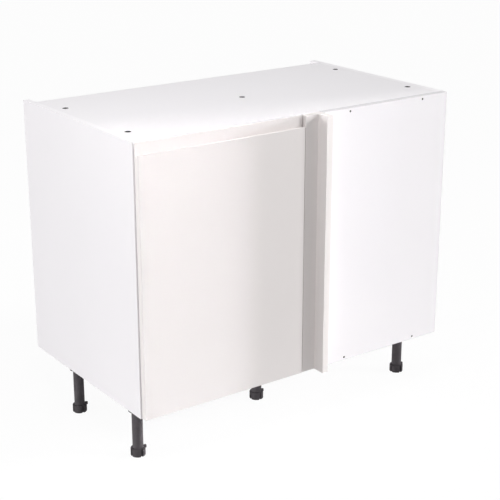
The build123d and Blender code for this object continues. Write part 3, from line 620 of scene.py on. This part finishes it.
def ring_tree():
    # Sets equal pieces round an upright axis. The mesh that carries it isn't used.
    tree, entry, result = start_tree("pieces_in_a_ring")
    ids = {
        "piece": add_input(tree, "Piece", "NodeSocketObject"),
        "count": add_input(tree, "Count", "NodeSocketInt", 4),
        "first_turn": add_input(tree, "First turn", "NodeSocketFloat", 0.0),
        "step": add_input(tree, "Step", "NodeSocketFloat", math.pi / 2),
        "centre": add_input(tree, "Centre", "NodeSocketVector"),
        "finish": add_input(tree, "Finish", "NodeSocketMaterial"),
    }
    make, link = tree.nodes.new, tree.links.new
    info = make("GeometryNodeObjectInfo")
    line = make("GeometryNodeMeshLine")
    line.inputs["Offset"].default_value = (0.0, 0.0, 0.0)
    index = make("GeometryNodeInputIndex")
    turn = make("ShaderNodeMath")
    turn.operation = "MULTIPLY_ADD"
    spin = make("FunctionNodeAxisAngleToRotation")
    spin.inputs["Axis"].default_value = (0.0, 0.0, 1.0)
    place = make("GeometryNodeInstanceOnPoints")
    move = make("GeometryNodeTransform")
    realize = make("GeometryNodeRealizeInstances")
    coat = make("GeometryNodeSetMaterial")
    link(entry.outputs["Piece"], info.inputs["Object"])
    link(entry.outputs["Count"], line.inputs["Count"])
    link(index.outputs["Index"], turn.inputs[0])
    link(entry.outputs["Step"], turn.inputs[1])
    link(entry.outputs["First turn"], turn.inputs[2])
    link(turn.outputs["Value"], spin.inputs["Angle"])
    link(line.outputs["Mesh"], place.inputs["Points"])
    link(info.outputs["Geometry"], place.inputs["Instance"])
    link(spin.outputs["Rotation"], place.inputs["Rotation"])
    link(place.outputs["Instances"], realize.inputs["Geometry"])
    link(realize.outputs["Geometry"], move.inputs["Geometry"])
    link(entry.outputs["Centre"], move.inputs["Translation"])
    link(move.outputs["Geometry"], coat.inputs["Geometry"])
    link(entry.outputs["Finish"], coat.inputs["Material"])
    link(coat.outputs["Geometry"], result.inputs["Geometry"])
    return tree, ids


def grown(name, carrier, tree, values):
    # Runs a tree on a carrier object and keeps the result as a plain mesh
    modifier = carrier.modifiers.new(name, "NODES")
    modifier.node_group = tree
    for identifier, value in values.items():
        modifier[identifier] = value
    bpy.context.view_layer.update()
    depsgraph = bpy.context.evaluated_depsgraph_get()
    mesh = bpy.data.meshes.new_from_object(carrier.evaluated_get(depsgraph))
    mesh.name = name
    carrier.modifiers.remove(modifier)
    old = carrier.data
    carrier.data = mesh
    bpy.data.meshes.remove(old)
    carrier.name = name
    return carrier


def point_carrier(name, points, aims):
    mesh = bpy.data.meshes.new(name)
    mesh.from_pydata(points, [], [])
    attribute = mesh.attributes.new("aim", "FLOAT_VECTOR", "POINT")
    for entry, aim in zip(attribute.data, aims):
        entry.vector = aim
    carrier = bpy.data.objects.new(name, mesh)
    bpy.context.scene.collection.objects.link(carrier)
    return carrier


fixings, fixing_ids = fixing_tree()
rings, ring_ids = ring_tree()


# Fixings, each set where its solid is

def joined_points(vert, seen):
    # All points that edges join to one vertex
    points = []
    queue = [vert]
    seen.add(vert)
    while queue:
        vert = queue.pop()
        points.append(vert.co.copy())
        for edge in vert.link_edges:
            other = edge.other_vert(vert)
            if other not in seen:
                seen.add(other)
                queue.append(other)
    return points


def islands(name):
    # Boxes of the separate solids of a node
    bm = bmesh.new()
    bm.from_mesh(nodes[name].data)
    bmesh.ops.remove_doubles(bm, verts=bm.verts, dist=1e-6)
    seen = set()
    boxes = []
    for vert in bm.verts:
        if vert in seen:
            continue
        points = joined_points(vert, seen)
        low = Vector([min(p[i] for p in points) for i in range(3)])
        high = Vector([max(p[i] for p in points) for i in range(3)])
        boxes.append((low, high))
    bm.free()
    return sorted(boxes, key=lambda box: tuple(round(c, 5) for c in box[0]))


def set_fixings(node, body, aim, shape, finish, head_height=0.0, middle=False):
    # Stands in for every solid of a fixing node: same place and length, with its real detail
    direction = Vector(aim)
    points = []
    for low, high in islands(node):
        centre = (low + high) / 2
        span = abs((high - low).dot(direction))
        start = centre if middle else centre - direction * (span / 2 - head_height)
        points.append(tuple(start))
    pattern = mesh_piece(node + "_pattern", shape, finish)
    carrier = point_carrier(node, points, [aim] * len(points))
    piece = grown("detailed_" + node, carrier, fixings, {
        fixing_ids["fixing"]: pattern,
        fixing_ids["size"]: 1.0,
        fixing_ids["turn_step"]: 0.0 if middle else TURN_STEP,
        fixing_ids["finish"]: finish,
    })
    bpy.data.objects.remove(pattern)
    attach(piece, body)
    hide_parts(node)


# Heights of the screw heads
HEAD_HEIGHT = 1.8 * MM
ARM_HEAD_HEIGHT = 1.5 * MM


def wood_screw(length, head_radius=3.0, shank_radius=1.75):
    # Sizes in millimetres
    return lambda bm: screw_shape(bm, shank_radius * MM, length * MM, head_radius * MM, HEAD_HEIGHT)


def arm_screw(bm):
    screw_shape(
        bm, shank_radius=2.0 * MM, length=11.0 * MM,
        head_radius=3.0 * MM, head_height=ARM_HEAD_HEIGHT, blunt=True)


TO_RIGHT, TO_LEFT = (1, 0, 0), (-1, 0, 0)
TO_REAR, TO_FRONT = (0, 1, 0), (0, -1, 0)
UP = (0, 0, 1)

plate_screw = wood_screw(11, head_radius=4.0, shank_radius=2.2)

for name, body, aim, shape, finish in (
    ("back_panel_screws", "carcass", TO_FRONT, wood_screw(30), bright_zinc),
    ("blind_panel_screws", "carcass", TO_REAR, wood_screw(30), dark_zinc),
    ("post_fixing_screws", "carcass", TO_FRONT, wood_screw(30), bright_zinc),
    ("post_joining_screws", "carcass", TO_LEFT, wood_screw(30), bright_zinc),
    ("leg_socket_screws", "carcass", UP, wood_screw(15), bright_zinc),
    ("hinge_cup_screws", "door", TO_FRONT, wood_screw(12), bright_zinc),
    ("mounting_plate_screws", "carcass", TO_LEFT, plate_screw, bright_zinc),
):
    set_fixings(name, body, aim, shape, finish, HEAD_HEIGHT)
set_fixings("hinge_arm_screws", "carcass", TO_LEFT, arm_screw, bright_zinc, ARM_HEAD_HEIGHT)
set_fixings("carcass_dowels", "carcass", TO_RIGHT, dowel_shape, beech, middle=True)
set_fixings("stile_dowels", "carcass", UP, dowel_shape, beech, middle=True)
set_fixings("door_bumpers", "door", TO_REAR, bumper_shape, bumper_gel)


# Feet: turned core, lug, threaded stem, and four grip pads with slots between them.
# Their sizes are millimetres and degrees, measured from the sole and the middle of the foot.
FOOT_SIDES = 48
FOOT_TOP = 22.5
CORE_RADIUS = 16.4
SOLE_CHAMFER = 1.2
SOLE_RIM_RADIUS = 14.8
SOLE_HOLLOW_RADIUS = 14.2
SOLE_HOLLOW_DEPTH = 1.2
PAD_COUNT = 4
PAD_RADIUS = 19.95
PAD_HALF_ANGLE = 36.9
PAD_CORNER_ANGLE = 2.2
PAD_CORNER_DROP = 1.0
PAD_ROOT = 0.6
PAD_STEPS = 14
LUG_HALF_WIDTH = 2.5
LUG_HEIGHT = 8.0
LUG_REACH = 25.0
LUG_ROOT = 1.0
LUG_CHAMFER = 0.8
STEM_RADIUS = 11.92
STEM_VALLEY = 10.8
STEM_TOP = 82.5
STEM_BORE = 5.0
BORE_FLOOR = 0.5
THREAD_PITCH = 3.0
# Rounding of a pad's lower and upper end: distance from the end, and how far it is drawn in
PAD_LOWER_ROUND = [(0.0, 1.3), (0.5, 0.6), (1.3, 0.15), (2.4, 0.0)]
PAD_UPPER_ROUND = [(2.4, 0.0), (1.6, 0.2), (0.9, 0.8), (0.3, 2.0)]


def thread(bm, last, base, top):
    # Ribbed rungs that climb one pitch per turn and run out flat at both ends
    half = THREAD_PITCH / 2
    rows = int((top - base - THREAD_PITCH) / half)
    for k in range(1, rows + 1):
        radius = STEM_RADIUS if k % 2 else STEM_VALLEY
        fade = min(1.0, k / 2) * min(1.0, (rows - k) / 2)
        rung = ring(bm, radius * MM, (base + half * k) * MM, FOOT_SIDES)
        for i, vert in enumerate(rung):
            vert.co.z += THREAD_PITCH * i / FOOT_SIDES * fade * MM
        bridge(bm, last, rung)
        last = rung
    return last


def foot_ring(bm, radius, z):
    return ring(bm, radius * MM, z * MM, FOOT_SIDES)


def foot_core(bm):
    hollow = foot_ring(bm, SOLE_HOLLOW_RADIUS, SOLE_HOLLOW_DEPTH)
    bm.faces.new(hollow)
    rim = foot_ring(bm, SOLE_RIM_RADIUS, 0.0)
    sole = foot_ring(bm, CORE_RADIUS - SOLE_CHAMFER, 0.0)
    side = foot_ring(bm, CORE_RADIUS, SOLE_CHAMFER)
    shoulder = foot_ring(bm, CORE_RADIUS, FOOT_TOP)
    neck = foot_ring(bm, STEM_RADIUS, FOOT_TOP)
    bridge(bm, hollow, rim, sole, side, shoulder, neck)
    last = thread(bm, neck, FOOT_TOP, STEM_TOP)
    crown = foot_ring(bm, STEM_VALLEY, STEM_TOP)
    bore_top = foot_ring(bm, STEM_BORE, STEM_TOP)
    bore_floor = foot_ring(bm, STEM_BORE, FOOT_TOP + BORE_FLOOR)
    bridge(bm, last, crown, bore_top, bore_floor)
    bm.faces.new(bore_floor)


def foot_lug(bm):
    sections = [
        (CORE_RADIUS - LUG_ROOT, 0.0),
        (LUG_REACH - LUG_CHAMFER, 0.0),
        (LUG_REACH, LUG_CHAMFER),
    ]
    rows = []
    for x, inset in sections:
        y = LUG_HALF_WIDTH - inset
        low = FOOT_TOP - LUG_HEIGHT + inset
        high = FOOT_TOP - inset
        corners = ((-y, low), (y, low), (y, high), (-y, high))
        rows.append([bm.verts.new((x * MM, across * MM, z * MM)) for across, z in corners])
    capped(bm, rows)


def foot_shape(bm, centre, bottom):
    foot_core(bm)
    foot_lug(bm)
    bmesh.ops.translate(bm, verts=bm.verts, vec=(centre.x, centre.y, bottom))


def pad_outline():
    # Angle and radius of the points round a pad, from one root to the other
    outline = [(-PAD_HALF_ANGLE, CORE_RADIUS - PAD_ROOT), (-PAD_HALF_ANGLE, PAD_RADIUS - PAD_CORNER_DROP)]
    for i in range(PAD_STEPS + 1):
        outline.append(((PAD_HALF_ANGLE - PAD_CORNER_ANGLE) * (2 * i / PAD_STEPS - 1), PAD_RADIUS))
    outline += [(PAD_HALF_ANGLE, PAD_RADIUS - PAD_CORNER_DROP), (PAD_HALF_ANGLE, CORE_RADIUS - PAD_ROOT)]
    return outline


def pad_shape(bm):
    # One grip pad: a thick curved plate with rounded long corners and rounded ends
    levels = PAD_LOWER_ROUND + [(FOOT_TOP - drop, inset) for drop, inset in PAD_UPPER_ROUND]
    rows = []
    for z, inset in levels:
        row = []
        for angle, radius in pad_outline():
            reach = max(radius - inset, CORE_RADIUS) if radius > CORE_RADIUS else radius
            turn = math.radians(angle)
            row.append(bm.verts.new((reach * MM * math.cos(turn), reach * MM * math.sin(turn), z * MM)))
        rows.append(row)
    capped(bm, rows)


def set_foot(place, pad):
    tube_low, tube_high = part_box("leg_tube_" + place)
    centre = (tube_low + tube_high) / 2
    floor_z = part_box("leg_foot_" + place)[0].z
    foot = mesh_piece("foot_" + place, lambda bm: foot_shape(bm, centre, floor_z), foot_plastic)
    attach(foot, "foot_" + place)
    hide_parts("leg_foot_" + place)
    carrier = point_carrier("pads_" + place, [], [])
    grip = grown("grip_pads_" + place, carrier, rings, {
        ring_ids["piece"]: pad,
        ring_ids["count"]: PAD_COUNT,
        ring_ids["first_turn"]: math.pi / PAD_COUNT,
        ring_ids["step"]: 2 * math.pi / PAD_COUNT,
        ring_ids["centre"]: (centre.x, centre.y, floor_z),
        ring_ids["finish"]: foot_plastic,
    })
    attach(grip, "foot_" + place)


pad = mesh_piece("grip_pad", pad_shape, foot_plastic)
for place in ("front_left", "front_right", "rear_left", "rear_right", "middle"):
    set_foot(place, pad)
bpy.data.objects.remove(pad)


# Floor, backdrop and light

FLOOR_REACH = 30.0
FLOOR_GLOW = 0.94
PAPER_TONE = 0.82
# Share of the light that the floor's view still picks up, so that only a faint shadow shows on it
SHADOW_TONE = 0.08


def seen_directly(tree):
    # 1 for what the camera, a mirror or glass sees, 0 for what only lights the object
    path = tree.nodes.new("ShaderNodeLightPath")
    seen = path.outputs["Is Camera Ray"]
    for other in ("Is Glossy Ray", "Is Transmission Ray"):
        seen = math_node(tree, "MAXIMUM", seen, path.outputs[other])
    return seen


def grey_diffuse(tree, tone):
    shader = tree.nodes.new("ShaderNodeBsdfDiffuse")
    shader.inputs["Color"].default_value = (tone, tone, tone, 1.0)
    return shader.outputs["BSDF"]


def pale_floor():
    # Paper floor. The view of it is nearly white by itself, so that only a faint shadow shows.
    mesh = bpy.data.meshes.new("floor")
    reach = FLOOR_REACH
    corners = [(-reach, -reach, 0), (reach, -reach, 0), (reach, reach, 0), (-reach, reach, 0)]
    mesh.from_pydata(corners, [], [(0, 1, 2, 3)])
    material = bpy.data.materials.new("floor_paper")
    material.use_nodes = True
    tree = material.node_tree
    tree.nodes.clear()
    output = tree.nodes.new("ShaderNodeOutputMaterial")
    glow = tree.nodes.new("ShaderNodeEmission")
    glow.inputs["Color"].default_value = (1.0, 1.0, 1.0, 1.0)
    glow.inputs["Strength"].default_value = FLOOR_GLOW
    view = tree.nodes.new("ShaderNodeAddShader")
    mix = tree.nodes.new("ShaderNodeMixShader")
    tree.links.new(grey_diffuse(tree, SHADOW_TONE), view.inputs[0])
    tree.links.new(glow.outputs["Emission"], view.inputs[1])
    tree.links.new(seen_directly(tree), mix.inputs["Fac"])
    tree.links.new(grey_diffuse(tree, PAPER_TONE), mix.inputs[1])
    tree.links.new(view.outputs["Shader"], mix.inputs[2])
    tree.links.new(mix.outputs["Shader"], output.inputs["Surface"])
    mesh.materials.append(material)
    floor = bpy.data.objects.new("floor", mesh)
    bpy.context.scene.collection.objects.link(floor)


def sky(strength):
    # Even fill for the object, plain white for the camera and for reflections
    world = bpy.data.worlds.new("studio")
    bpy.context.scene.world = world
    world.use_nodes = True
    tree = world.node_tree
    tree.nodes.clear()
    output = tree.nodes.new("ShaderNodeOutputWorld")
    mix = tree.nodes.new("ShaderNodeMixShader")
    for slot, level in ((1, strength), (2, 1.0)):
        background = tree.nodes.new("ShaderNodeBackground")
        background.inputs["Color"].default_value = (1.0, 1.0, 1.0, 1.0)
        background.inputs["Strength"].default_value = level
        tree.links.new(background.outputs["Background"], mix.inputs[slot])
    tree.links.new(seen_directly(tree), mix.inputs["Fac"])
    tree.links.new(mix.outputs["Shader"], output.inputs["Surface"])


def aimed_lamp(name, light, direction):
    lamp = bpy.data.objects.new(name, light)
    lamp.rotation_mode = "QUATERNION"
    lamp.rotation_quaternion = direction.to_track_quat("-Z", "Y")
    bpy.context.scene.collection.objects.link(lamp)
    return lamp


def far_light(name, turn, height, spread, power):
    # Distant lamp: turn from +X towards the front, height above the horizon, both in degrees
    light = bpy.data.lights.new(name, "SUN")
    light.energy = power
    light.angle = math.radians(spread)
    turn, height = math.radians(turn), math.radians(height)
    back = Vector((math.cos(turn) * math.cos(height), -math.sin(turn) * math.cos(height), math.sin(height)))
    aimed_lamp(name, light, -back)


def softbox(name, place, aim, width, height, power, spread=180.0):
    # A narrow spread is a honeycomb grid in front of the box: its light falls on a strip only
    light = bpy.data.lights.new(name, "AREA")
    light.shape = "RECTANGLE"
    light.size = width
    light.size_y = height
    light.energy = power
    light.spread = math.radians(spread)
    lamp = aimed_lamp(name, light, Vector(aim) - Vector(place))
    lamp.location = place


pale_floor()
sky(0.21)
far_light("right_front", turn=40.0, height=22.0, spread=15.0, power=1.71)
far_light("left_side", turn=196.0, height=5.0, spread=8.0, power=1.65)
softbox(
    "left_front_box", place=(-1.0, -0.8, 1.8), aim=(-0.4, -0.2, 0.8),
    width=0.6, height=0.6, power=7.6)
# Grazes the fronts from the right, so that the corner post shades the door
softbox(
    "right_strip", place=(1.578, -0.56, 0.659), aim=(0.0, -0.338, 0.52),
    width=0.33, height=1.0, power=1.74, spread=9.0)
softbox(
    "overhead", place=(0.0, 0.0, 3.0), aim=(0.0, -0.1, 0.45),
    width=2.0, height=2.0, power=12.1)


# Camera at the photograph's angle: lengths in metres, focal length in pixels of the photograph

SENSOR_WIDTH_MM = 36.0
PHOTO_WIDTH_PIXELS = 500.0
FOCAL_LENGTH_PIXELS = 1257.558
CAMERA_PLACE = (-1.95297, -2.74306, 1.59714)
CAMERA_YAW = math.radians(35.8075)
CAMERA_PITCH = math.radians(19.0411)
FARTHEST_VIEW = 100.0


def camera_like_the_photo():
    data = bpy.data.cameras.new("camera")
    data.sensor_width = SENSOR_WIDTH_MM
    data.lens = SENSOR_WIDTH_MM * FOCAL_LENGTH_PIXELS / PHOTO_WIDTH_PIXELS
    data.clip_end = FARTHEST_VIEW
    camera = bpy.data.objects.new("camera", data)
    camera.location = CAMERA_PLACE
    level = math.cos(CAMERA_PITCH)
    looking = Vector((math.sin(CAMERA_YAW) * level, math.cos(CAMERA_YAW) * level, -math.sin(CAMERA_PITCH)))
    camera.rotation_mode = "QUATERNION"
    camera.rotation_quaternion = looking.to_track_quat("-Z", "Y")
    bpy.context.scene.collection.objects.link(camera)
    return camera


bpy.context.scene.camera = camera_like_the_photo()
bpy.context.scene.view_settings.view_transform = "Standard"
